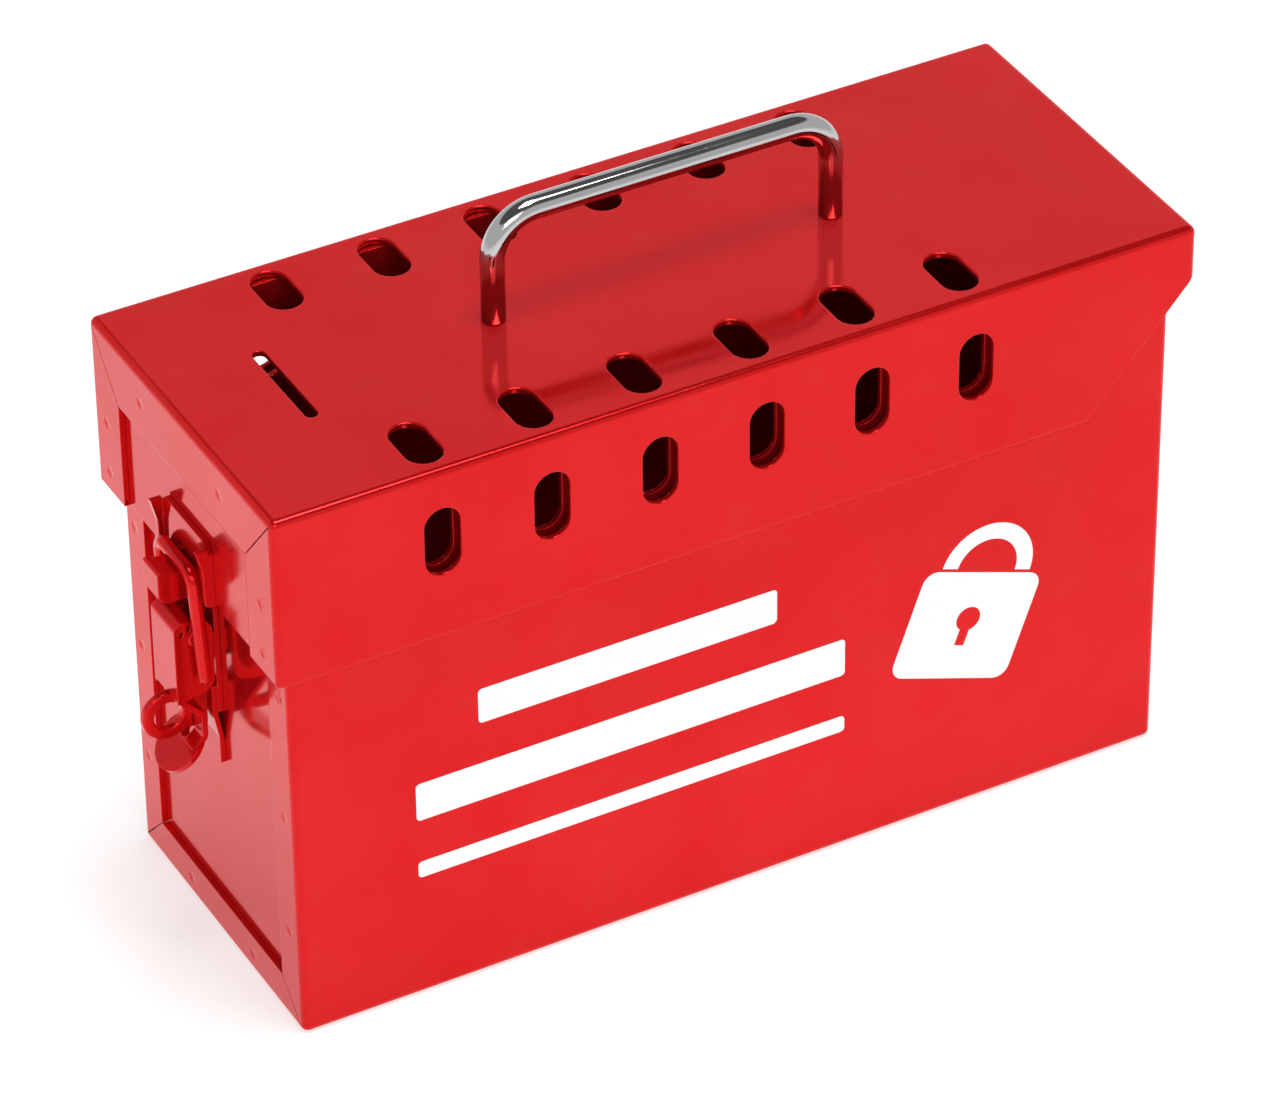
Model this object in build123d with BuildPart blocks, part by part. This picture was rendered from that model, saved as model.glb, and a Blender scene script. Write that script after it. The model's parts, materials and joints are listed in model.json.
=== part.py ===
from build123d import *
import os
from math import sqrt

# Portable group lock box: a folded steel box with a hinged lid.  Padlocks go through the slots
# along the lid's edges, and a lever latch with its own padlock eye closes the left end.
# Origin: centre of the bottom face.  +X towards the hinge end, -Y is the front, +Z up.

# ---------------------------------------------------------------- driving dimensions (mm)
SHEET = 1.5                 # thickness of all folded sheet
BEND = 2.0                  # outside radius of a fold

LID_LENGTH = 260.0
LID_WIDTH = 102.0
LID_TOP = 163.0             # height of the closed box without the handle
LID_DEPTH = 48.8            # height of the lid's skirts
LID_SIDE_FLANGE = 15.5      # end flanges folded from the front and back skirts
LID_TOP_FLANGE = 18.2       # end flange folded from the top
HINGE_FLANGE_DEPTH = 14.2   # short flange at the hinge end
SKIRT_CHAMFER = 31.0        # length of the cut-off corner of each skirt at the hinge end

BODY_LENGTH = 251.0
BODY_WIDTH = 93.0
BODY_RIM = 161.0            # top edge of the body's walls, just under the lid
BODY_SIDE_FLANGE = 11.5
BODY_BOTTOM_FLANGE = 11.8
PANEL_GAP = 0.2             # play between an end panel and the walls beside it

SLOT_WIDTH = 9.8            # padlock slots
SIDE_SLOT_LENGTH = 19.4
TOP_SLOT_LENGTH = 17.8
SLOT_PITCH = 30.0
SLOT_COUNT = 6
FIRST_SLOT_X = -84.4
SIDE_SLOT_Z = 142.0
TOP_SLOT_Y = 37.7
RIM_ROUND = 0.4             # rounding of the lid's slot rims
RIM_TOLERANCE = 0.01
KEY_SLOT_X = -100.8
KEY_SLOT_LENGTH = 32.0
KEY_SLOT_WIDTH = 3.6
WELD_RADIUS = 6.0           # ball that presses a spot-weld dimple
WELD_DEPTH = 0.25
MITRE_GAP = 0.35

HANDLE_ROD = 6.4
HANDLE_SPAN = 96.0          # between the legs' axes
HANDLE_X = 4.7
HANDLE_HEIGHT = 32.5        # top of the rod above the lid
HANDLE_BEND = 12.0          # radius of the rod's axis
SCREW_RADIUS = 2.0
SCREW_GRIP = 10.0           # thread length inside each leg
SCREW_HEAD_RADIUS = 4.0
SCREW_HEAD_HEIGHT = 2.6
WASHER_RADIUS = 6.0
WASHER_THICKNESS = 1.0

HINGE_LENGTH = 66.0
HINGE_KNUCKLES = 5
KNUCKLE_GAP = 0.3
KNUCKLE_RADIUS = 2.25
HINGE_LEAF = 1.0
HINGE_PIN_RADIUS = 1.25
HINGE_Z = 146.0
HINGE_LEAF_HEIGHT = 19.0
FIT = 0.05                  # radial clearance of pins and rivets in their holes

RIVET_RADIUS = 1.6
RIVET_HEAD_RADIUS = 3.0
RIVET_HEAD_HEIGHT = 1.2
RIVET_TAIL_RADIUS = 2.4
RIVET_TAIL_HEIGHT = 1.0

# ---------------------------------------------------------------- places that follow from them
BODY_END = BODY_LENGTH / 2 - SHEET             # outer face of the body's end panels
LID_END = LID_LENGTH / 2 - SHEET               # outer face of the lid's end panel
LID_BOTTOM = LID_TOP - LID_DEPTH
SLOT_XS = [FIRST_SLOT_X + SLOT_PITCH * i for i in range(SLOT_COUNT)]
HINGE_X = BODY_END + KNUCKLE_RADIUS
CENTRE_BOTTOM = (Align.CENTER, Align.CENTER, Align.MIN)

# ---------------------------------------------------------------- latch, in its X-Z plane
LATCH_FACE = -BODY_END                         # the body panel that the latch base lies on
BASE_FACE = LATCH_FACE - SHEET                 # outer face of the latch base
KEEPER_FACE = -LID_END - SHEET                 # outer face of the keeper's plate
LEVER_PIVOT = (-131.2, 101.3)
TOGGLE_OFFSET = (0.6, -11.8)                   # from the lever's pivot to the bail's: over centre
BAIL_PIVOT = (LEVER_PIVOT[0] + TOGGLE_OFFSET[0], LEVER_PIVOT[1] + TOGGLE_OFFSET[1])
BAIL_BAR = (-132.5, 122.5)                     # axis of the bail's cross bar
BAIL_WIRE = 1.8                                # radius of its wire
BAIL_HALF_WIDTH = 9.3
BAIL_TIP_Y = 4.0                               # where the turned-in ends stop
LEVER_HALF_WIDTH = 6.5
LEVER_PIN_RADIUS = 1.5
EYE_CENTRE = (-137.5, 75.4)
EYE_HOLE_RADIUS = 3.9
EYE_RADIUS = 7.0
EYE_THICKNESS = 2.2
TAB_CENTRE = (-134.3, 65.3)
TAB_RADIUS = 8.0
TAB_TILT = 45.0

os.makedirs("parts", exist_ok=True)


def finish(piece, name):
    """Label a finished piece and write it under its node's name."""
    piece.part.label = name
    export_step(piece.part, f"parts/{name}.step")


def make_rivet(grip):
    """A rivet on +Z: domed head above z = 0, shank down through the grip, closed head below it."""
    with BuildPart() as rivet:
        with BuildSketch():
            Circle(RIVET_HEAD_RADIUS)
        extrude(amount=RIVET_HEAD_HEIGHT)
        fillet(rivet.edges().group_by(Axis.Z)[-1], RIVET_HEAD_HEIGHT * 0.8)
        with BuildSketch():
            Circle(RIVET_RADIUS)
        extrude(amount=-grip)
        with BuildSketch(Plane.XY.offset(-grip)):
            Circle(RIVET_TAIL_RADIUS)
        extrude(amount=-RIVET_TAIL_HEIGHT)
        chamfer(rivet.edges().group_by(Axis.Z)[0], 0.3)
    return rivet.part


def facing(direction, x, y, z):
    """A location at a point, with its local +Z along the direction."""
    return Plane(origin=(x, y, z), z_dir=direction).location


def weld_ball(sign, face_x, y, z):
    """Centre of the ball that presses a shallow dimple into an end face."""
    return (face_x + sign * (WELD_RADIUS - WELD_DEPTH), y, z)


# ---------------------------------------------------------------- body
body_weld_y = BODY_WIDTH / 2 - BODY_SIDE_FLANGE / 2
body_window = BODY_WIDTH - 2 * BODY_SIDE_FLANGE

with BuildPart() as body_shell:
    Box(BODY_LENGTH, BODY_WIDTH, BODY_RIM, align=CENTRE_BOTTOM)
    fillet(body_shell.edges().filter_by(Axis.Z), BEND)
    fillet(body_shell.faces().sort_by(Axis.Z)[0].edges(), BEND * 0.99)
    with Locations((0, 0, SHEET)):
        Box(BODY_LENGTH - 2 * SHEET, BODY_WIDTH - 2 * SHEET, BODY_RIM,
            align=CENTRE_BOTTOM, mode=Mode.SUBTRACT)
    # the end windows, framed by flanges folded from the walls and the bottom
    with Locations((0, 0, BODY_BOTTOM_FLANGE)):
        Box(BODY_LENGTH + 2, body_window, BODY_RIM, align=CENTRE_BOTTOM, mode=Mode.SUBTRACT)
    # mitre lines where the bottom and side flanges meet
    for end in (-1, 1):
        for side in (-1, 1):
            with BuildSketch(Plane.YZ.offset(end * BODY_LENGTH / 2 - 2 * SHEET)):
                with BuildLine():
                    inner = (side * body_window / 2, BODY_BOTTOM_FLANGE)
                    Line(inner, (side * (BODY_WIDTH / 2 - SHEET), SHEET))
                    offset(amount=MITRE_GAP / 2, side=Side.BOTH)
                make_face()
            extrude(amount=4 * SHEET, mode=Mode.SUBTRACT)
    # padlock slots through the front and back walls
    with BuildSketch(Plane.XZ):
        with Locations([(x, SIDE_SLOT_Z) for x in SLOT_XS]):
            SlotOverall(SIDE_SLOT_LENGTH, SLOT_WIDTH, rotation=90)
    extrude(amount=BODY_WIDTH, both=True, mode=Mode.SUBTRACT)
    # spot-weld dimples on the end flanges
    side_welds = [(y, z) for y in (-body_weld_y, body_weld_y) for z in (30, 66, 103)]
    bottom_welds = [(y, BODY_BOTTOM_FLANGE / 2) for y in (-18, 18)]
    for end in (-1, 1):
        face_x = end * BODY_LENGTH / 2
        with Locations([weld_ball(end, face_x, y, z) for y, z in side_welds + bottom_welds]):
            Sphere(WELD_RADIUS, mode=Mode.SUBTRACT)
finish(body_shell, "body_shell")

panel_width = BODY_WIDTH - 2 * (SHEET + PANEL_GAP)
panel_bottom = SHEET + PANEL_GAP
panel_height = BODY_RIM - 0.5 - panel_bottom
hinge_rivet_ys = (-24.0, 0.0, 24.0)
body_leaf_rivet_z = HINGE_Z - 11.5
lid_leaf_rivet_z = HINGE_Z + 9.0


with BuildPart() as body_end_left:
    with Locations((-BODY_END + SHEET / 2, 0, panel_bottom)):
        Box(SHEET, panel_width, panel_height, align=CENTRE_BOTTOM)
finish(body_end_left, "body_end_left")

with BuildPart() as body_end_right:
    with Locations((BODY_END - SHEET / 2, 0, panel_bottom)):
        Box(SHEET, panel_width, panel_height, align=CENTRE_BOTTOM)
    with BuildSketch(Plane.YZ.offset(BODY_END - 2 * SHEET)):
        with Locations([(y, body_leaf_rivet_z) for y in hinge_rivet_ys]):
            Circle(RIVET_RADIUS + FIT)
    extrude(amount=4 * SHEET, mode=Mode.SUBTRACT)
finish(body_end_right, "body_end_right")

# ---------------------------------------------------------------- lid
skirt_window = LID_WIDTH - 2 * LID_SIDE_FLANGE
lid_weld_y = LID_WIDTH / 2 - LID_SIDE_FLANGE / 2
screw_xs = (HANDLE_X - HANDLE_SPAN / 2, HANDLE_X + HANDLE_SPAN / 2)


def on_slot_rim(edge):
    """Whether an edge of the lid is the outer rim of a padlock slot."""
    middle = edge.center()
    side_rim = (abs(abs(middle.Y) - LID_WIDTH / 2) < RIM_TOLERANCE
                and abs(middle.Z - SIDE_SLOT_Z) < SIDE_SLOT_LENGTH / 2 + RIM_TOLERANCE)
    top_rim = (abs(middle.Z - LID_TOP) < RIM_TOLERANCE
               and abs(abs(middle.Y) - TOP_SLOT_Y) < TOP_SLOT_LENGTH / 2 + RIM_TOLERANCE)
    return abs(middle.X) < SLOT_PITCH * SLOT_COUNT / 2 + SLOT_WIDTH and (side_rim or top_rim)


with BuildPart() as lid_shell:
    with Locations((0, 0, LID_BOTTOM)):
        Box(LID_LENGTH, LID_WIDTH, LID_DEPTH, align=CENTRE_BOTTOM)
    fillet(lid_shell.edges().filter_by(Axis.Z), BEND)
    fillet(lid_shell.faces().sort_by(Axis.Z)[-1].edges(), BEND * 0.99)
    with Locations((0, 0, LID_BOTTOM - SHEET)):
        Box(LID_LENGTH - 2 * SHEET, LID_WIDTH - 2 * SHEET, LID_DEPTH,
            align=CENTRE_BOTTOM, mode=Mode.SUBTRACT)
    # window of the latch end, framed by the top and side flanges
    with Locations((-LID_LENGTH / 2, 0, LID_BOTTOM)):
        Box(4 * SHEET, skirt_window, LID_DEPTH - LID_TOP_FLANGE,
            align=CENTRE_BOTTOM, mode=Mode.SUBTRACT)
    for side in (-1, 1):
        with BuildSketch(Plane.YZ.offset(-LID_LENGTH / 2 - SHEET)):
            with BuildLine():
                inner = (side * skirt_window / 2, LID_TOP - LID_TOP_FLANGE)
                Line(inner, (side * (LID_WIDTH / 2 - SHEET), LID_TOP - SHEET))
                offset(amount=MITRE_GAP / 2, side=Side.BOTH)
            make_face()
        extrude(amount=3 * SHEET, mode=Mode.SUBTRACT)
    # hinge end: a short flange, and the skirts cut off at a slant below it
    with BuildSketch(Plane.XZ):
        with BuildLine():
            Polyline((LID_LENGTH / 2 - SKIRT_CHAMFER, LID_BOTTOM),
                     (LID_LENGTH / 2, LID_TOP - HINGE_FLANGE_DEPTH),
                     (LID_LENGTH / 2 + 1, LID_TOP - HINGE_FLANGE_DEPTH),
                     (LID_LENGTH / 2 + 1, LID_BOTTOM - 1),
                     (LID_LENGTH / 2 - SKIRT_CHAMFER, LID_BOTTOM - 1), close=True)
        make_face()
    extrude(amount=LID_WIDTH, both=True, mode=Mode.SUBTRACT)
    # padlock slots in both skirts and along both edges of the top, and the key slot
    with BuildSketch(Plane.XZ):
        with Locations([(x, SIDE_SLOT_Z) for x in SLOT_XS]):
            SlotOverall(SIDE_SLOT_LENGTH, SLOT_WIDTH, rotation=90)
    extrude(amount=LID_WIDTH, both=True, mode=Mode.SUBTRACT)
    with BuildSketch(Plane.XY.offset(LID_TOP)):
        with Locations([(x, y) for x in SLOT_XS for y in (-TOP_SLOT_Y, TOP_SLOT_Y)]):
            SlotOverall(TOP_SLOT_LENGTH, SLOT_WIDTH, rotation=90)
        with Locations((KEY_SLOT_X, 0)):
            SlotOverall(KEY_SLOT_LENGTH, KEY_SLOT_WIDTH, rotation=90)
        with Locations([(x, 0) for x in screw_xs]):
            Circle(SCREW_RADIUS + FIT)
    extrude(amount=-2 * SHEET, mode=Mode.SUBTRACT)
    # rolled-over rims of the padlock slots
    fillet(lid_shell.edges().filter_by(on_slot_rim), RIM_ROUND)
    # rivet holes of the hinge leaf
    with BuildSketch(Plane.YZ.offset(LID_END - SHEET)):
        with Locations([(y, lid_leaf_rivet_z) for y in hinge_rivet_ys]):
            Circle(RIVET_RADIUS + FIT)
    extrude(amount=4 * SHEET, mode=Mode.SUBTRACT)
    # spot-weld dimples on the latch end's flanges
    flange_welds = [(y, z) for y in (-lid_weld_y, lid_weld_y) for z in (120, 135)]
    top_welds = [(y, LID_TOP - LID_TOP_FLANGE / 2) for y in (-22, 22)]
    with Locations([weld_ball(-1, -LID_LENGTH / 2, y, z) for y, z in flange_welds + top_welds]):
        Sphere(WELD_RADIUS, mode=Mode.SUBTRACT)
finish(lid_shell, "lid_shell")

with BuildPart() as lid_end_panel:
    with Locations((-LID_END + SHEET / 2, 0, LID_BOTTOM)):
        Box(SHEET, LID_WIDTH - 2 * (SHEET + PANEL_GAP), LID_DEPTH - SHEET - PANEL_GAP,
            align=CENTRE_BOTTOM)
finish(lid_end_panel, "lid_end_panel")

# ---------------------------------------------------------------- carrying handle
rod_top = LID_TOP + HANDLE_HEIGHT - HANDLE_ROD / 2

with BuildPart() as handle:
    with BuildLine():
        FilletPolyline((screw_xs[0], 0, LID_TOP), (screw_xs[0], 0, rod_top),
                       (screw_xs[1], 0, rod_top), (screw_xs[1], 0, LID_TOP), radius=HANDLE_BEND)
    with BuildSketch(Plane.XY.offset(LID_TOP)):
        with Locations((screw_xs[0], 0)):
            Circle(HANDLE_ROD / 2)
    sweep()
    chamfer(handle.edges().group_by(Axis.Z)[0], 0.4)
    with BuildSketch(Plane.XY.offset(LID_TOP)):
        with Locations([(x, 0) for x in screw_xs]):
            Circle(SCREW_RADIUS + FIT)
    extrude(amount=SCREW_GRIP + 1, mode=Mode.SUBTRACT)
finish(handle, "handle")

washer_face = LID_TOP - SHEET - WASHER_THICKNESS

for side, x in zip(("left", "right"), screw_xs):
    with BuildPart() as washer:
        with BuildSketch(Plane.XY.offset(washer_face)):
            with Locations((x, 0)):
                Circle(WASHER_RADIUS)
                Circle(SCREW_RADIUS + 0.2, mode=Mode.SUBTRACT)
        extrude(amount=WASHER_THICKNESS)
        chamfer(washer.edges().filter_by(GeomType.CIRCLE).group_by(SortBy.RADIUS)[-1], 0.3)
    finish(washer, f"handle_washer_{side}")

    with BuildPart() as screw:
        with BuildSketch(Plane.XY.offset(washer_face)):
            with Locations((x, 0)):
                Circle(SCREW_RADIUS)
        extrude(amount=LID_TOP - washer_face + SCREW_GRIP)
        chamfer(screw.edges().group_by(Axis.Z)[-1], 0.5)
        with BuildSketch(Plane.XY.offset(washer_face)):
            with Locations((x, 0)):
                Circle(SCREW_HEAD_RADIUS)
        extrude(amount=-SCREW_HEAD_HEIGHT)
        fillet(screw.edges().group_by(Axis.Z)[0], 1.4)
        # cross recess of the head
        with BuildSketch(Plane.XY.offset(washer_face - SCREW_HEAD_HEIGHT)):
            with Locations((x, 0)):
                Rectangle(4.4, 1.0)
                Rectangle(1.0, 4.4)
        extrude(amount=1.6, mode=Mode.SUBTRACT)
    finish(screw, f"handle_screw_{side}")

# ---------------------------------------------------------------- hinge
knuckle_pitch = HINGE_LENGTH / HINGE_KNUCKLES
barrel = Plane(origin=(HINGE_X, 0, HINGE_Z), x_dir=(1, 0, 0), z_dir=(0, -1, 0))


def hinge_leaf(first_knuckle, leaf_x, leaf_bottom, leaf_top, rivet_z):
    """One leaf: a flat plate against its sheet, and every second knuckle rolled round the pin."""
    centres = [(i - (HINGE_KNUCKLES - 1) / 2) * knuckle_pitch for i in range(HINGE_KNUCKLES)]
    own = centres[first_knuckle::2]
    others = centres[1 - first_knuckle::2]
    with BuildPart() as leaf:
        with Locations((leaf_x, 0, (leaf_bottom + leaf_top) / 2)):
            Box(HINGE_LEAF, HINGE_LENGTH, leaf_top - leaf_bottom)
        for y in others:
            with Locations((HINGE_X, y, HINGE_Z)):
                Box(3 * KNUCKLE_RADIUS, knuckle_pitch + KNUCKLE_GAP,
                    2 * (KNUCKLE_RADIUS + KNUCKLE_GAP), mode=Mode.SUBTRACT)
        for y in own:
            with Locations(Plane(origin=(HINGE_X, y, HINGE_Z), z_dir=(0, 1, 0)).location):
                Cylinder(KNUCKLE_RADIUS, knuckle_pitch - KNUCKLE_GAP)
        with Locations(barrel.location):
            Cylinder(HINGE_PIN_RADIUS + FIT, HINGE_LENGTH + 2, mode=Mode.SUBTRACT)
        with BuildSketch(Plane.YZ.offset(leaf_x - 3)):
            with Locations([(y, rivet_z) for y in hinge_rivet_ys]):
                Circle(RIVET_RADIUS + FIT)
        extrude(amount=6, mode=Mode.SUBTRACT)
    return leaf


hinge_leaf_body = hinge_leaf(0, BODY_END + HINGE_LEAF / 2, HINGE_Z - HINGE_LEAF_HEIGHT,
                             HINGE_Z, body_leaf_rivet_z)
finish(hinge_leaf_body, "hinge_leaf_body")

hinge_leaf_lid = hinge_leaf(1, LID_END - HINGE_LEAF / 2, HINGE_Z,
                            LID_TOP - SHEET - 0.5, lid_leaf_rivet_z)
finish(hinge_leaf_lid, "hinge_leaf_lid")

with BuildPart() as hinge_pin:
    with Locations(barrel.location):
        Cylinder(HINGE_PIN_RADIUS, HINGE_LENGTH)
    for end in (-1, 1):
        with Locations(facing((0, end, 0), HINGE_X, end * HINGE_LENGTH / 2, HINGE_Z)):
            Cylinder(HINGE_PIN_RADIUS + 0.6, 0.9, align=CENTRE_BOTTOM)
    chamfer(hinge_pin.edges().group_by(Axis.Y)[0] + hinge_pin.edges().group_by(Axis.Y)[-1], 0.4)
finish(hinge_pin, "hinge_pin")

leaf_rivet = make_rivet(HINGE_LEAF + SHEET)
flange_rivet = make_rivet(SHEET + HINGE_LEAF)

with BuildPart() as hinge_rivets_body:
    with Locations([facing((1, 0, 0), BODY_END + HINGE_LEAF, y, body_leaf_rivet_z)
                    for y in hinge_rivet_ys]):
        add(leaf_rivet)
finish(hinge_rivets_body, "hinge_rivets_body")

with BuildPart() as hinge_rivets_lid:
    with Locations([facing((1, 0, 0), LID_LENGTH / 2, y, lid_leaf_rivet_z)
                    for y in hinge_rivet_ys]):
        add(flange_rivet)
finish(hinge_rivets_lid, "hinge_rivets_lid")

# ---------------------------------------------------------------- keeper on the lid
# The hook's seat is an arc round the point that the bail's bar circles as the lever turns,
# so the bar slides out of it without touching.
seat_centre = (BAIL_BAR[0] - TOGGLE_OFFSET[0], BAIL_BAR[1] - TOGGLE_OFFSET[1])
seat_radius = sqrt(TOGGLE_OFFSET[0] ** 2 + TOGGLE_OFFSET[1] ** 2) + BAIL_WIRE + FIT
HOOK_HALF_WIDTH = 4.2
HOOK_REACH = 9.6            # how far the hook's nose stands out of the keeper's plate
HOOK_BOTTOM = 112.2
HOOK_NOSE_BEVEL = 0.6
KEEPER_HALF_WIDTH = 13.5
KEEPER_TOP = 133.0
EAR_BOTTOM = 114.7
EAR_TOP = 131.6


def seat_height(x):
    """Height of the hook's seat at x."""
    return seat_centre[1] - sqrt(seat_radius ** 2 - (x - seat_centre[0]) ** 2)


nose_x = KEEPER_FACE - HOOK_REACH
crest_x = nose_x + HOOK_NOSE_BEVEL

ear_profile = [(KEEPER_FACE + 0.1, EAR_BOTTOM), (KEEPER_FACE - 1.2, EAR_BOTTOM),
               (KEEPER_FACE - 1.5, EAR_BOTTOM + 10.5), (KEEPER_FACE - 3.1, EAR_TOP),
               (KEEPER_FACE + 0.1, EAR_TOP)]

with BuildPart() as keeper:
    # plate, with its top corners cut off
    with BuildSketch(Plane.YZ.offset(KEEPER_FACE)) as plate:
        with Locations((0, LID_BOTTOM + 0.2)):
            Rectangle(2 * KEEPER_HALF_WIDTH, KEEPER_TOP - LID_BOTTOM - 0.2,
                      align=(Align.CENTER, Align.MIN))
        chamfer(plate.vertices().group_by(Axis.Y)[-1], 3)
    extrude(amount=SHEET)
    # hook that the bail's bar lies on
    with BuildSketch(Plane.XZ):
        with BuildLine():
            seat = ThreePointArc((KEEPER_FACE + 0.1, seat_height(KEEPER_FACE + 0.1)),
                                 (BAIL_BAR[0] - 2, seat_height(BAIL_BAR[0] - 2)),
                                 (crest_x, seat_height(crest_x)))
            Polyline(seat @ 1, (nose_x, seat_height(crest_x) - HOOK_NOSE_BEVEL),
                     (nose_x, HOOK_BOTTOM + 2.2), (nose_x + 1.0, HOOK_BOTTOM + 1.0),
                     (nose_x + 2.8, HOOK_BOTTOM), (KEEPER_FACE - 1.5, HOOK_BOTTOM),
                     (KEEPER_FACE + 0.1, HOOK_BOTTOM + 2.2),
                     seat @ 0)
        make_face()
    extrude(amount=HOOK_HALF_WIDTH, both=True)
    # ears folded up from the plate's two sides, flared at the top
    for side in (-1, 1):
        with BuildSketch(Plane.XZ.offset(-side * KEEPER_HALF_WIDTH)) as ear:
            Polygon(*ear_profile, align=None)
            fillet(ear.vertices().sort_by(Axis.Y)[:2].sort_by(Axis.X)[0], 1.0)
        extrude(amount=side * SHEET)
finish(keeper, "keeper")

# ---------------------------------------------------------------- latch base on the body
BASE_HALF_WIDTH = 4.7
BASE_BOTTOM = 74.5
BASE_TOP = 108.3
BASE_EAR_INNER = 3.3
BASE_EAR_THICKNESS = 1.4
pivot_x, pivot_z = LEVER_PIVOT

with BuildPart() as latch_base:
    with BuildSketch(Plane.YZ.offset(BASE_FACE)) as plate:
        with Locations((0, BASE_BOTTOM)):
            Rectangle(2 * BASE_HALF_WIDTH, BASE_TOP - BASE_BOTTOM, align=(Align.CENTER, Align.MIN))
        fillet(plate.vertices().group_by(Axis.Y)[-1], 3)
    extrude(amount=SHEET)
    # two ears that carry the lever's pin
    for side in (-1, 1):
        with BuildSketch(Plane.XZ.offset(-side * BASE_EAR_INNER)):
            with Locations((pivot_x, pivot_z)):
                Circle(3.0)
                Polygon((-3.0, 0), (-1.6, -3.8), (BASE_FACE - pivot_x + 0.1, -8.5),
                        (BASE_FACE - pivot_x + 0.1, -1.8), (2.4, -1.8), align=None)
                Circle(LEVER_PIN_RADIUS + FIT, mode=Mode.SUBTRACT)
        extrude(amount=-side * BASE_EAR_THICKNESS)
finish(latch_base, "latch_base")

# ---------------------------------------------------------------- padlock eye
eye_x, eye_z = EYE_CENTRE
EYE_STEM = (70.0, 80.7)     # heights between which the eye stands on its strip
STRIP_HALF_WIDTH = 4.6
STRIP_TOP = 83.0            # the strip laps over the latch base down to its bottom edge
STRIP_BOTTOM = 58.5
FOOT_TOP = 66.5             # below it the strip lies flat on the end panel
LAP_FACE = BASE_FACE - SHEET

with BuildPart() as padlock_eye:
    # ring and stem, in the latch's mid-plane
    with BuildSketch(Plane.XZ):
        Polygon((eye_x, EYE_STEM[0]), (LAP_FACE + 0.1, EYE_STEM[0]), (LAP_FACE + 0.1, EYE_STEM[1]),
                (eye_x, EYE_STEM[1]), align=None)
        with Locations(EYE_CENTRE):
            Circle(EYE_RADIUS)
            Circle(EYE_HOLE_RADIUS, mode=Mode.SUBTRACT)
    extrude(amount=EYE_THICKNESS / 2, both=True)
    chamfer(padlock_eye.edges().filter_by(GeomType.CIRCLE), 0.35)
    # strip that the stem stands on, stepped down to the panel
    with BuildSketch(Plane.XZ):
        Polygon((BASE_FACE, STRIP_TOP), (BASE_FACE, BASE_BOTTOM - 0.4), (LATCH_FACE, FOOT_TOP - 1.5),
                (LATCH_FACE, STRIP_BOTTOM), (BASE_FACE, STRIP_BOTTOM), (BASE_FACE, FOOT_TOP),
                (LAP_FACE, BASE_BOTTOM), (LAP_FACE, STRIP_TOP), align=None)
    extrude(amount=STRIP_HALF_WIDTH, both=True)
finish(padlock_eye, "padlock_eye")

# ---------------------------------------------------------------- lever and its pin
PIN_HEAD_RADIUS = 2.4
PIN_HEAD_HEIGHT = 0.7

with BuildPart() as lever_pin:
    with Locations(Plane(origin=(pivot_x, 0, pivot_z), z_dir=(0, 1, 0)).location):
        Cylinder(LEVER_PIN_RADIUS, 2 * (LEVER_HALF_WIDTH + FIT))
    for end in (-1, 1):
        with Locations(facing((0, end, 0), pivot_x, end * (LEVER_HALF_WIDTH + FIT), pivot_z)):
            Cylinder(PIN_HEAD_RADIUS, PIN_HEAD_HEIGHT, align=CENTRE_BOTTOM)
    chamfer(lever_pin.edges().group_by(Axis.Y)[0] + lever_pin.edges().group_by(Axis.Y)[-1], 0.35)
finish(lever_pin, "lever_pin")

LEVER_FACE = -137.2         # outer face of the lever's channel
LEVER_INNER = -126.6        # inner edge of its side walls
LEVER_WALL_BOTTOM = 82.6
LEVER_WALL_CORNER = 4.0
NECK_FACE = -130.9          # outer face of the neck that the padlock eye comes through
NECK_TOP = 76.1
NECK_BOTTOM = 69.9
EYE_SLOT = (16.2, 3.2)      # length and width of the slot for the eye
EYE_SLOT_Z = 75.2
STRIP_BEND = 1.8
WALL_SLOTS = [(-4.0, 1.9), (-2.0, 3.1)]     # from the lever's pivot
WALL_SLOT = (1.9, 0.8)
WALL_SLOT_TURN = 70.0       # degrees

cap_points = [(pivot_x - 1.0, pivot_z + 5.2), (pivot_x - 3.8, pivot_z + 5.4),
              (LEVER_FACE, pivot_z + 4.0)]
step_points = [(LEVER_FACE, LEVER_WALL_BOTTOM), (NECK_FACE, NECK_TOP), (NECK_FACE, NECK_BOTTOM),
               (NECK_FACE - 3.0, NECK_BOTTOM - 3.0)]
tab_plane = Plane(origin=(TAB_CENTRE[0], 0, TAB_CENTRE[1]), x_dir=(0, 1, 0),
                  z_dir=Vector(-1, 0, 0).rotate(Axis.Y, TAB_TILT))

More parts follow.
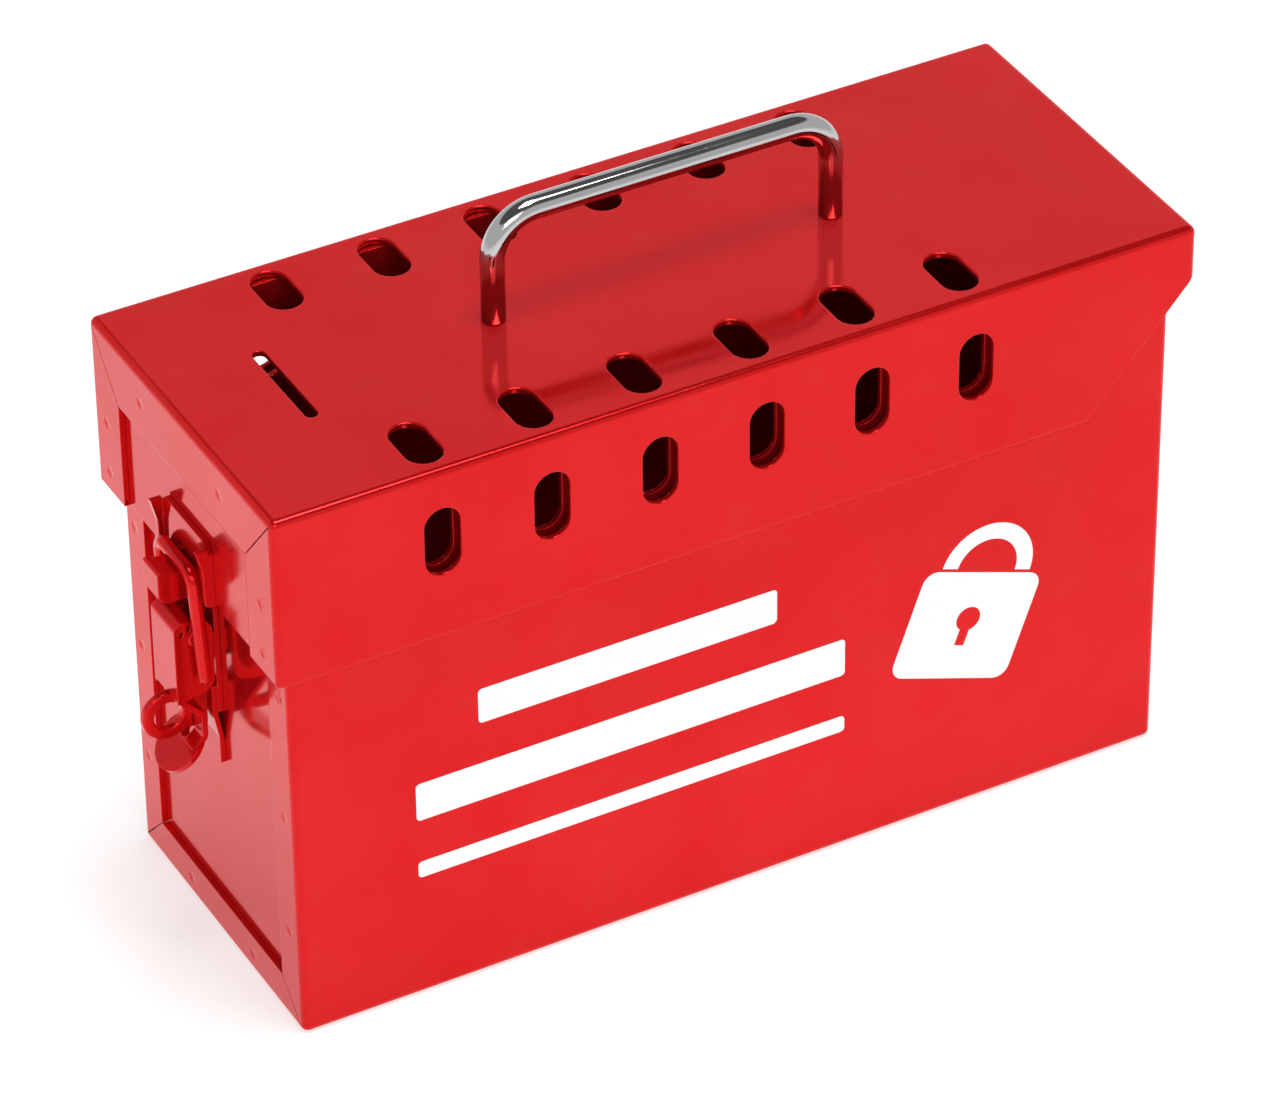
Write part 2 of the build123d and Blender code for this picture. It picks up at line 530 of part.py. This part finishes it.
with BuildPart() as latch_lever:
    # bent strip: cap over the pivot, outer face, a step inwards to the neck
    with BuildSketch(Plane.XZ):
        with BuildLine():
            FilletPolyline(*cap_points, *step_points, radius=STRIP_BEND)
            offset(amount=SHEET, side=Side.LEFT)
        make_face()
    extrude(amount=LEVER_HALF_WIDTH, both=True)
    # side walls folded inwards
    for side in (-1, 1):
        with BuildSketch(Plane.XZ.offset(-side * LEVER_HALF_WIDTH)):
            with BuildLine():
                outer = FilletPolyline(*cap_points, (LEVER_FACE, LEVER_WALL_BOTTOM - 0.4),
                                       radius=STRIP_BEND)
                inner = FilletPolyline(outer @ 1, (LEVER_INNER, LEVER_WALL_BOTTOM + 1.6),
                                       (LEVER_INNER, pivot_z), radius=LEVER_WALL_CORNER)
                ThreePointArc(inner @ 1, (pivot_x + 3.3, pivot_z + 3.4), outer @ 0)
            make_face()
        extrude(amount=side * SHEET)
    # round finger tab, flared outwards
    with BuildSketch(tab_plane.offset(-SHEET / 2)):
        Circle(TAB_RADIUS)
        with Locations((0, -TAB_RADIUS - 5.4)):
            Rectangle(2 * TAB_RADIUS, 2 * TAB_RADIUS, mode=Mode.SUBTRACT)
    extrude(amount=SHEET)
    # slot for the padlock eye
    with BuildSketch(Plane.YZ.offset(LEVER_FACE - 4)):
        with Locations((0, EYE_SLOT_Z)):
            SlotOverall(*EYE_SLOT, rotation=90)
    extrude(amount=EYE_SLOT[0], mode=Mode.SUBTRACT)
    # two narrow slots high in each side wall
    with BuildSketch(Plane.XZ):
        with Locations(*[Location((pivot_x + x, pivot_z + z), WALL_SLOT_TURN) for x, z in WALL_SLOTS]):
            SlotOverall(*WALL_SLOT)
    extrude(amount=2 * LEVER_HALF_WIDTH, both=True, mode=Mode.SUBTRACT)
    # holes for the lever's pin and the bail's turned-in ends
    with BuildSketch(Plane.XZ):
        with Locations(LEVER_PIVOT):
            Circle(LEVER_PIN_RADIUS + FIT)
        with Locations(BAIL_PIVOT):
            Circle(BAIL_WIRE + FIT)
    extrude(amount=2 * LEVER_HALF_WIDTH, both=True, mode=Mode.SUBTRACT)
finish(latch_lever, "latch_lever")

# ---------------------------------------------------------------- bail
BAIL_TOP_BEND = 3.5
BAIL_FOOT_BEND = 2.2
bail_path = []
for side in (-1, 1):
    corners = [(BAIL_PIVOT[0], side * BAIL_TIP_Y, BAIL_PIVOT[1]),
               (BAIL_PIVOT[0], side * BAIL_HALF_WIDTH, BAIL_PIVOT[1]),
               (BAIL_BAR[0], side * BAIL_HALF_WIDTH, BAIL_BAR[1])]
    bail_path += corners[::-side]

with BuildPart() as latch_bail:
    with BuildLine() as wire:
        FilletPolyline(*bail_path, radius=[BAIL_FOOT_BEND, BAIL_TOP_BEND,
                                           BAIL_TOP_BEND, BAIL_FOOT_BEND])
    with BuildSketch(Plane(origin=wire.wire() @ 0, z_dir=wire.wire() % 0)):
        Circle(BAIL_WIRE)
    sweep()
finish(latch_bail, "latch_bail")
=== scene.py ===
import json
import math

import bpy
from mathutils import Matrix, Vector


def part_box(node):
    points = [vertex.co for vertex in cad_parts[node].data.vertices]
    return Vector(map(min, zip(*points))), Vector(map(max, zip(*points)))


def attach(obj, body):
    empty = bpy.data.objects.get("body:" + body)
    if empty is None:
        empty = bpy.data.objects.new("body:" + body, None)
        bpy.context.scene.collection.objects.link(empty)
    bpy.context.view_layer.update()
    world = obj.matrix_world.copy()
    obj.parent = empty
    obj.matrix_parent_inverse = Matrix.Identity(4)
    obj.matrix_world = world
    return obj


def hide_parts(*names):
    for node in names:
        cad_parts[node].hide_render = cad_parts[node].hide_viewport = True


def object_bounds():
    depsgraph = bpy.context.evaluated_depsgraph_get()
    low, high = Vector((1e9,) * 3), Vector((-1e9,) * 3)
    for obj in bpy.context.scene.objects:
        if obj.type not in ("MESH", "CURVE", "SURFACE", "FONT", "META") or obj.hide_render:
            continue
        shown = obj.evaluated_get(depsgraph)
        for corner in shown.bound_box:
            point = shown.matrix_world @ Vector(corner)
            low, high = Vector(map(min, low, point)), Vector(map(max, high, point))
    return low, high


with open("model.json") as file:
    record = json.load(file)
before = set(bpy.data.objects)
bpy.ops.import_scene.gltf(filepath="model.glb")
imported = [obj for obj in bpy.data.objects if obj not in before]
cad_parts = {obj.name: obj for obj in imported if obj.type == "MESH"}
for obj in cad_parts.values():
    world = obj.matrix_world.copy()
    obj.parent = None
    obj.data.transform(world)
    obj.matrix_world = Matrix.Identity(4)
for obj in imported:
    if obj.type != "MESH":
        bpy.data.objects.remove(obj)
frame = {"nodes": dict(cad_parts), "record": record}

CAD_BOX = [list(corner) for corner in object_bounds()]
MM = 0.001

# ---------------------------------------------------------------- camera
CAMERA_AZIMUTH = -28.395         # degrees, 0 looks along +Y
CAMERA_ELEVATION = 36.234
CAMERA_ROLL = -0.626
CAMERA_DISTANCE = 1.7740         # metres
CAMERA_TARGET = Vector((-2.85, 0.10, 78.27)) * MM
CAMERA_LENS = 194.5              # mm on a 36 mm sensor


def make_camera():
    azimuth, elevation = math.radians(CAMERA_AZIMUTH), math.radians(CAMERA_ELEVATION)
    roll = math.radians(CAMERA_ROLL)
    back = Vector((math.sin(azimuth) * math.cos(elevation),
                   -math.cos(azimuth) * math.cos(elevation), math.sin(elevation)))
    level = Vector((0, 0, 1)).cross(back).normalized()
    up = back.cross(level)
    right = level * math.cos(roll) + up * math.sin(roll)
    up = back.cross(right)
    data = bpy.data.cameras.new("camera")
    data.lens = CAMERA_LENS
    data.sensor_width = 36.0
    camera = bpy.data.objects.new("camera", data)
    bpy.context.scene.collection.objects.link(camera)
    turn = Matrix((right, up, back)).transposed().to_4x4()
    camera.matrix_world = Matrix.Translation(CAMERA_TARGET + back * CAMERA_DISTANCE) @ turn
    bpy.context.scene.camera = camera


# ---------------------------------------------------------------- node trees
BEVEL_SAMPLES = 6
EDGE_COSINE = 0.75               # between the flat and the rounded normal, where a point counts as an edge


class Nodes:
    """A short way to write a material's node tree."""

    def __init__(self, name):
        self.material = bpy.data.materials.new(name)
        self.material.use_nodes = True
        self.tree = self.material.node_tree
        self.tree.nodes.clear()

    def add(self, kind, **settings):
        """Add a node; a setting is an attribute, or an input by its name with _ for a space."""
        node = self.tree.nodes.new(kind)
        for key, value in settings.items():
            if hasattr(node, key):
                setattr(node, key, value)
            else:
                self.set(node, key.replace("_", " "), value)
        return node

    def set(self, node, name, value):
        """Give an input a value, or link it to an output socket."""
        socket = node.inputs[int(name)] if name.isdigit() else node.inputs[name]
        if isinstance(value, bpy.types.NodeSocket):
            self.tree.links.new(value, socket)
        else:
            socket.default_value = value

    def noise(self, place, scale, detail, roughness=0.5):
        """Noise from 0 to 1; scale is in lumps per metre."""
        node = self.add("ShaderNodeTexNoise", Vector=place, Scale=scale, Detail=detail, Roughness=roughness)
        return node.outputs["Fac"]

    def remap(self, value, low, high, to_low, to_high):
        """The value moved linearly from one range to another, and kept inside it."""
        node = self.add("ShaderNodeMapRange", Value=value)
        for name, number in (("From Min", low), ("From Max", high), ("To Min", to_low), ("To Max", to_high)):
            node.inputs[name].default_value = number
        return node.outputs["Result"]

    def math(self, operation, a, b):
        node = self.add("ShaderNodeMath", operation=operation)
        self.set(node, "0", a)
        self.set(node, "1", b)
        return node.outputs[0]

    def mix(self, factor, a, b):
        """The colour between a and b at the factor."""
        node = self.add("ShaderNodeMix", data_type="RGBA")
        for name, value in (("Factor", factor), ("A", a), ("B", b)):
            socket = [s for s in node.inputs if s.name == name and s.type in ("RGBA", "VALUE")]
            socket = socket[-1] if name != "Factor" else socket[0]
            if isinstance(value, bpy.types.NodeSocket):
                self.tree.links.new(value, socket)
            else:
                socket.default_value = value
        return [s for s in node.outputs if s.type == "RGBA"][0]

    def bump(self, height, strength, distance, normal=None):
        """A normal roughened by the height; distance is in metres."""
        node = self.add("ShaderNodeBump", Height=height, Strength=strength, Distance=distance)
        if normal is not None:
            self.set(node, "Normal", normal)
        return node.outputs["Normal"]

    def place(self):
        return self.add("ShaderNodeTexCoord").outputs["Object"]

    def edge(self, radius):
        """The normal rounded over the edges, and how near an edge the point is, from 0 to 1."""
        rounded = self.add("ShaderNodeBevel", samples=BEVEL_SAMPLES, Radius=radius).outputs["Normal"]
        flat = self.add("ShaderNodeNewGeometry").outputs["Normal"]
        dot = self.add("ShaderNodeVectorMath", operation="DOT_PRODUCT")
        self.set(dot, "0", rounded)
        self.set(dot, "1", flat)
        return rounded, self.remap(dot.outputs["Value"], 1.0, EDGE_COSINE, 0.0, 1.0)

    def output(self, shader):
        self.add("ShaderNodeOutputMaterial", Surface=shader)
        return self.material


def grey(value):
    return (value, value, value, 1.0)


# ---------------------------------------------------------------- materials
RED = (0.66, 0.0095, 0.0115, 1.0)
DEEP_RED = (0.62, 0.0075, 0.0092, 1.0)
# pale red for a painted edge highlight, where the coat also runs thin
THIN_COAT_AND_HIGHLIGHT_RED = (0.82, 0.045, 0.04, 1.0)
COAT_IOR = (1.28, 1.40)          # lowest and highest, as the coat's thickness varies
COAT_METAL = 0.62                # share of the coat's red that mirrors, as a deep glossy coat does
COAT_ROUGHNESS = (0.066, 0.165)
COAT_EDGE = 0.4 * MM
SHEET_WAVE = 0.35 * MM
ORANGE_PEEL = 0.05 * MM


def powder_coat(name):
    """Glossy red powder coat on slightly wavy sheet, painted paler along the edges as a highlight, where the
    coat also runs thinner.
    """
    n = Nodes(name)
    place = n.place()
    rounded, edge = n.edge(COAT_EDGE)
    cloud = n.noise(place, 14.0, 3.0)
    colour = n.mix(n.remap(cloud, 0.35, 0.65, 0.0, 1.0), DEEP_RED, RED)
    # painted highlight along the edges, broken up by noise where the coat runs thinner
    thin_coat_and_highlight = n.math("MULTIPLY", edge, n.remap(n.noise(place, 90.0, 4.0), 0.35, 0.65, 0.25, 1.0))
    colour = n.mix(n.math("MULTIPLY", thin_coat_and_highlight, 0.45), colour, THIN_COAT_AND_HIGHLIGHT_RED)
    wave = n.bump(n.noise(place, 20.0, 1.0), 1.0, SHEET_WAVE, rounded)
    peel = n.bump(n.noise(place, 650.0, 2.0), 0.08, ORANGE_PEEL, wave)
    smudge = n.noise(place, 30.0, 5.0, 0.65)
    shader = n.add("ShaderNodeBsdfPrincipled", Base_Color=colour, Normal=peel, Metallic=COAT_METAL,
                   IOR=n.remap(n.noise(place, 38.0, 4.0, 0.6), 0.32, 0.68, *COAT_IOR),
                   Roughness=n.remap(smudge, 0.3, 0.7, *COAT_ROUGHNESS))
    return n.output(shader.outputs[0])


def white_print(name):
    """Screen-printed white ink, faintly uneven."""
    n = Nodes(name)
    place = n.place()
    cloud = n.noise(place, 60.0, 4.0)
    speck = n.noise(place, 1500.0, 2.0)
    shader = n.add("ShaderNodeBsdfPrincipled", Base_Color=n.mix(cloud, grey(0.90), grey(0.96)), IOR=1.4,
                   Roughness=n.remap(cloud, 0.3, 0.7, 0.3, 0.42), Normal=n.bump(speck, 0.1, 0.02 * MM))
    return n.output(shader.outputs[0])


DRAWN_LINES = (60.0, 2500.0, 2500.0)     # lines per metre along and across the bar


def polished_steel(name):
    """Polished round bar along X, with fine lines along it."""
    n = Nodes(name)
    place = n.place()
    stretched = n.add("ShaderNodeMapping", Vector=place)
    stretched.inputs["Scale"].default_value = DRAWN_LINES
    lines = n.noise(stretched.outputs[0], 1.0, 3.0)
    cloud = n.noise(place, 120.0, 4.0)
    rough = n.math("ADD", n.remap(cloud, 0.3, 0.7, 0.05, 0.09), n.remap(lines, 0.3, 0.7, 0.0, 0.04))
    shader = n.add("ShaderNodeBsdfPrincipled", Base_Color=n.mix(lines, grey(0.40), grey(0.56)), Metallic=1.0,
                   Roughness=rough, Normal=n.bump(lines, 0.05, 0.03 * MM))
    return n.output(shader.outputs[0])


def zinc(name):
    """Bright zinc plating, faintly mottled, painted paler along the edges as a highlight."""
    n = Nodes(name)
    place = n.place()
    rounded, edge = n.edge(0.2 * MM)
    spangle = n.noise(place, 400.0, 3.0)
    # painted highlight: the colour turns towards a pale grey along the edges
    colour = n.mix(n.math("MULTIPLY", edge, 0.5), n.mix(spangle, grey(0.50), grey(0.66)), grey(0.85))
    shader = n.add("ShaderNodeBsdfPrincipled", Base_Color=colour, Metallic=1.0,
                   Roughness=n.remap(spangle, 0.3, 0.7, 0.25, 0.4),
                   Normal=n.bump(spangle, 0.08, 0.04 * MM, rounded))
    return n.output(shader.outputs[0])


FLOOR_GLOW = 0.58                # makes the floor come out white, as the photograph's background


def floor_paper(name):
    """Pale matt paper, faintly uneven."""
    n = Nodes(name)
    place = n.place()
    cloud = n.noise(place, 3.0, 2.0)
    colour = n.mix(cloud, grey(0.60), grey(0.63))
    shader = n.add("ShaderNodeBsdfPrincipled", Base_Color=colour, Roughness=0.7, Specular_IOR_Level=0.1)
    shader.inputs["Emission Color"].default_value = grey(1.0)
    shader.inputs["Emission Strength"].default_value = FLOOR_GLOW
    return n.output(shader.outputs[0])


# ---------------------------------------------------------------- studio
FLOOR_SIZE = 24.0                # metres
FLOOR_GAP = 0.05 * MM            # keeps the floor clear of the box's bottom
BACKDROP_LIGHT = 0.74            # the studio's brightness around the box
CEILING_LIGHT = 0.12             # and overhead
CEILING_RISE = (0.60, 0.68)      # sines of the heights between which one turns into the other
LIGHTS = [                       # name, place, aim and size in metres, and watts
    ("key", (-0.9, -2.2, 1.7), (0, 0, 0.08), (1.6, 1.2), 10.8),
    ("top", (0.2, -0.2, 2.2), (0, 0, 0.1), (0.9, 0.9), 35),
    ("glint", (-1.3, -1.5, 1.5), (-0.1, 0, 0.1), (0.1, 0.1), 1.2)]


def make_floor():
    mesh = bpy.data.meshes.new("floor")
    half = FLOOR_SIZE / 2
    corners = [(-half, -half, 0), (half, -half, 0), (half, half, 0), (-half, half, 0)]
    mesh.from_pydata(corners, [], [(0, 1, 2, 3)])
    floor = bpy.data.objects.new("floor", mesh)
    floor.data.materials.append(floor_paper("floor_paper"))
    bpy.context.scene.collection.objects.link(floor)
    floor.location.z = CAD_BOX[0][2] - FLOOR_GAP


def area_light(name, place, aim, size, power):
    """A soft light that faces its aim."""
    data = bpy.data.lights.new(name, "AREA")
    data.shape = "RECTANGLE"
    data.size, data.size_y = size
    data.energy = power
    light = bpy.data.objects.new(name, data)
    light.location = place
    light.rotation_mode = "QUATERNION"
    light.rotation_quaternion = (Vector(place) - Vector(aim)).to_track_quat("Z", "Y")
    bpy.context.scene.collection.objects.link(light)


def make_lights():
    """A bright backdrop under a dark ceiling, and the lights."""
    world = bpy.data.worlds.new("studio")
    world.use_nodes = True
    tree = world.node_tree
    background = tree.nodes["Background"]
    background.inputs["Color"].default_value = grey(1.0)
    height = tree.nodes.new("ShaderNodeSeparateXYZ")
    tree.links.new(tree.nodes.new("ShaderNodeTexCoord").outputs["Generated"], height.inputs[0])
    sky = tree.nodes.new("ShaderNodeMapRange")
    sky.interpolation_type = "SMOOTHSTEP"
    tree.links.new(height.outputs["Z"], sky.inputs["Value"])
    limits = (*CEILING_RISE, BACKDROP_LIGHT, CEILING_LIGHT)
    for name, number in zip(("From Min", "From Max", "To Min", "To Max"), limits):
        sky.inputs[name].default_value = number
    tree.links.new(sky.outputs["Result"], background.inputs["Strength"])
    bpy.context.scene.world = world
    for light in LIGHTS:
        area_light(*light)


# ---------------------------------------------------------------- pieces
def smooth_mesh(name, vertices, faces):
    mesh = bpy.data.meshes.new(name)
    mesh.from_pydata(vertices, [], faces)
    mesh.update()
    mesh.polygons.foreach_set("use_smooth", [True] * len(mesh.polygons))
    piece = bpy.data.objects.new(name, mesh)
    bpy.context.scene.collection.objects.link(piece)
    return piece


def rounded_path(corners, radii, steps):
    """Points along straight runs joined by tangent arcs, with one radius for each corner."""
    points = [corners[0]]
    for before, corner, after, radius in zip(corners, corners[1:], corners[2:], radii):
        back, ahead = (before - corner).normalized(), (after - corner).normalized()
        half = back.angle(ahead) / 2
        centre = corner + (back + ahead).normalized() * (radius / math.sin(half))
        start, end = corner + back * (radius / math.tan(half)), corner + ahead * (radius / math.tan(half))
        for i in range(steps + 1):
            toward = (start - centre).normalized().slerp((end - centre).normalized(), i / steps)
            points.append(centre + toward * radius)
    return points + [corners[-1]]


def rod(name, points, radius, sides, cap):
    """A round bar along the points, with its ends bevelled by cap."""
    first, last = (points[0] - points[1]).normalized(), (points[-1] - points[-2]).normalized()
    rings = [(points[0], radius - cap), (points[0] - first * cap, radius)]
    rings += [(point, radius) for point in points[1:-1]]
    rings += [(points[-1] - last * cap, radius), (points[-1], radius - cap)]
    vertices, faces = [], []
    side = (rings[1][0] - rings[0][0]).orthogonal().normalized()
    for i, (point, width) in enumerate(rings):
        ahead, behind = rings[min(i + 1, len(rings) - 1)][0], rings[max(i - 1, 0)][0]
        along = (ahead - behind).normalized()
        side = (side - along * side.dot(along)).normalized()
        across = along.cross(side)
        for k in range(sides):
            angle = 2 * math.pi * k / sides
            vertices.append(point + (side * math.cos(angle) + across * math.sin(angle)) * width)
    for i in range(len(rings) - 1):
        for k in range(sides):
            k2 = (k + 1) % sides
            faces.append((i * sides + k, i * sides + k2, (i + 1) * sides + k2, (i + 1) * sides + k))
    faces.append(tuple(range(sides))[::-1])
    faces.append(tuple(range(len(vertices) - sides, len(vertices))))
    return smooth_mesh(name, vertices, faces)


HANDLE_BEND = 12 * MM
HANDLE_CAP = 0.4 * MM


def make_handle(material):
    """The carrying handle as one smooth bar."""
    low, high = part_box("handle")
    radius = (high.y - low.y) / 2
    left, right, top = low.x + radius, high.x - radius, high.z - radius
    corners = [Vector((left, 0, low.z)), Vector((left, 0, top)), Vector((right, 0, top)),
               Vector((right, 0, low.z))]
    path = rounded_path(corners, [HANDLE_BEND] * 2, steps=14)
    piece = rod("handle_bar", path, radius, sides=48, cap=HANDLE_CAP)
    piece.data.materials.append(material)
    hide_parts("handle")
    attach(piece, "lid")


BAIL_PIVOT = Vector((-130.6, 0, 89.5)) * MM
BAIL_BAR = Vector((-132.5, 0, 122.5)) * MM
BAIL_WIRE = 1.8 * MM
BAIL_TIP = 4.0 * MM                 # where each turned-in end stops, from the middle
BAIL_BENDS = [2.2 * MM, 3.5 * MM, 3.5 * MM, 2.2 * MM]
BAIL_CAP = 0.3 * MM


def make_bail(material):
    """The latch's wire bail as one smooth bent wire."""
    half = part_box("latch_bail")[1].y - BAIL_WIRE
    corners = [BAIL_PIVOT - Vector((0, BAIL_TIP, 0)), BAIL_PIVOT - Vector((0, half, 0)),
               BAIL_BAR - Vector((0, half, 0)), BAIL_BAR + Vector((0, half, 0)),
               BAIL_PIVOT + Vector((0, half, 0)), BAIL_PIVOT + Vector((0, BAIL_TIP, 0))]
    path = rounded_path(corners, BAIL_BENDS, steps=10)
    piece = rod("bail_wire", path, BAIL_WIRE, sides=32, cap=BAIL_CAP)
    piece.data.materials.append(material)
    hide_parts("latch_bail")
    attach(piece, "bail")


PRINT_THICKNESS = 0.05 * MM
# the rest of the print's sizes are in millimetres on the body's front
BARS = [(-74, 11, 84.8, 10.5), (-92, 31, 61.3, 11.5), (-92, 31, 40.0, 5.0)]   # left, right, middle, height
BAR_CORNER = 1.2
LOCK_CENTRE = (67.0, 58.0)          # (x, z) of the pictogram's body
LOCK_TILT = -20.0                   # degrees
LOCK_BODY = (37.0, 32.0, 4.0)       # width, height, corner radius
LOCK_SHACKLE = (11.5, 17.0, 2.4)    # radius, height of the straight legs' top, half the width of the line
LOCK_GAP = 0.9                      # between the body and the shackle
KEYHOLE = (3.6, 1.5, 8.0)           # radius, half width and length of its slot
KEYHOLE_UP = 2.0                    # its centre above the body's
CORNER_STEPS = 8


def rounded_outline(width, height, corner, centre=(0.0, 0.0)):
    """Corner points of a rounded rectangle, counter-clockwise."""
    points = []
    for turn, (sx, sz) in enumerate(((1, 1), (-1, 1), (-1, -1), (1, -1))):
        for i in range(CORNER_STEPS + 1):
            angle = math.radians(90 * (turn + i / CORNER_STEPS))
            points.append((centre[0] + sx * (width / 2 - corner) + corner * math.cos(angle),
                           centre[1] + sz * (height / 2 - corner) + corner * math.sin(angle)))
    return points


def arc(radius, start, end, steps, centre_z):
    """Points of an arc in the print's plane, with angles in radians."""
    angles = [start + (end - start) * i / steps for i in range(steps + 1)]
    return [(radius * math.cos(a), centre_z + radius * math.sin(a)) for a in angles]


def padlock_loops():
    """Closed outlines of the pictogram's body with its keyhole, and of its shackle, upright at the origin."""
    radius, legs, half = LOCK_SHACKLE
    base = LOCK_BODY[1] / 2 + LOCK_GAP
    shackle = [(radius + half, base), *arc(radius + half, 0.0, math.pi, 32, legs),
               (-radius - half, base), (-radius + half, base),
               *arc(radius - half, math.pi, 0.0, 32, legs), (radius - half, base)]
    hole, slot_half, slot_length = KEYHOLE
    open_angle = math.asin(slot_half / hole)
    keyhole = arc(hole, open_angle - math.pi / 2, 1.5 * math.pi - open_angle, 40, KEYHOLE_UP)
    keyhole += [(-slot_half, KEYHOLE_UP - slot_length), (slot_half, KEYHOLE_UP - slot_length)]
    return rounded_outline(*LOCK_BODY), keyhole, shackle


def print_loops():
    """All closed outlines of the print; an outline inside another is a hole."""
    loops = []
    for left, right, middle, height in BARS:
        loops.append(rounded_outline(right - left, height, BAR_CORNER, ((left + right) / 2, middle)))
    turn = Matrix.Rotation(math.radians(LOCK_TILT), 2)
    for loop in padlock_loops():
        loops.append([tuple(turn @ Vector(point) + Vector(LOCK_CENTRE)) for point in loop])
    return loops


def make_print(material):
    """Three blank write-on bars and a padlock pictogram, printed on the body's front."""
    curve = bpy.data.curves.new("front_print_outline", "CURVE")
    curve.dimensions = "2D"
    curve.fill_mode = "BOTH"
    curve.extrude = PRINT_THICKNESS / 2
    for loop in print_loops():
        spline = curve.splines.new("POLY")
        spline.points.add(len(loop) - 1)
        for point, (x, z) in zip(spline.points, loop):
            point.co = (x * MM, z * MM, 0.0, 1.0)
        spline.use_cyclic_u = True
    outline = bpy.data.objects.new("front_print_outline", curve)
    outline.rotation_euler = (math.radians(90), 0, 0)
    outline.location.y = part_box("body_shell")[0].y - PRINT_THICKNESS / 2
    bpy.context.scene.collection.objects.link(outline)
    bpy.context.view_layer.update()
    mesh = bpy.data.meshes.new_from_object(outline)
    mesh.transform(outline.matrix_world)
    bpy.data.objects.remove(outline)
    bpy.data.curves.remove(curve)
    mesh.materials.clear()
    mesh.materials.append(material)
    piece = bpy.data.objects.new("front_print", mesh)
    bpy.context.scene.collection.objects.link(piece)
    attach(piece, "box_body")


# ---------------------------------------------------------------- build
make_camera()
bpy.context.scene.view_settings.view_transform = "Standard"
make_floor()
make_lights()

red = powder_coat("red_powder_coat")
chrome = polished_steel("handle_steel")
plated = zinc("bright_zinc")
finish_of = {"red_coat": red, "handle_chrome": chrome, "plain_steel": plated}
for subpart in frame["record"]["subparts"]:
    node = frame["nodes"][subpart["node"]]
    node.data.materials.clear()
    node.data.materials.append(finish_of[subpart["material_slot"]])

make_handle(chrome)
make_bail(red)
make_print(white_print("white_print"))
